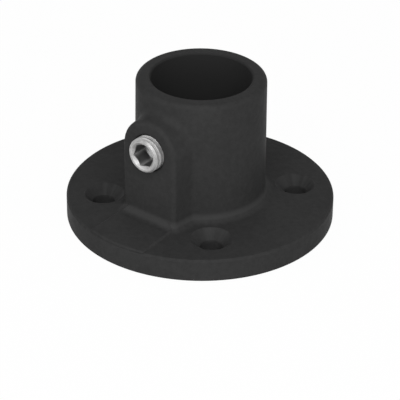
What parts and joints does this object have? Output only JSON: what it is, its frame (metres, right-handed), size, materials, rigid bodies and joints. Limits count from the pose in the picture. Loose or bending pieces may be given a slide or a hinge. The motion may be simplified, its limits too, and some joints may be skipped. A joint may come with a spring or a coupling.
{
  "type": "tube clamp base flange",
  "caption": "Cast base flange for a 26.9 mm tube: a round plate with countersunk bolt holes and an upright collar, where a socket set screw in a side boss clamps the tube.",
  "frame": {"origin": "centre of the plate's underside, on the tube's axis", "axes": "+Z along the tube's axis, out of the collar's mouth; -Y towards the face of the set screw's boss; X across the boss"},
  "size_m": [0.074, 0.074, 0.042],
  "materials": {
    "black_coated_iron": "satin black coat over a cast surface",
    "zinc_plated_steel": "bright zinc plating over turned steel"
  },
  "bodies": {
    "flange": {"flange_casting": "black_coated_iron"},
    "clamp_screw": {"set_screw": "zinc_plated_steel"}
  },
  "joints": [
    {"name": "set_screw_travel", "type": "slide", "parent": "flange", "child": "clamp_screw", "axis": [0, 1, 0], "range_m": [-0.0035, 0.0014]}
  ]
}
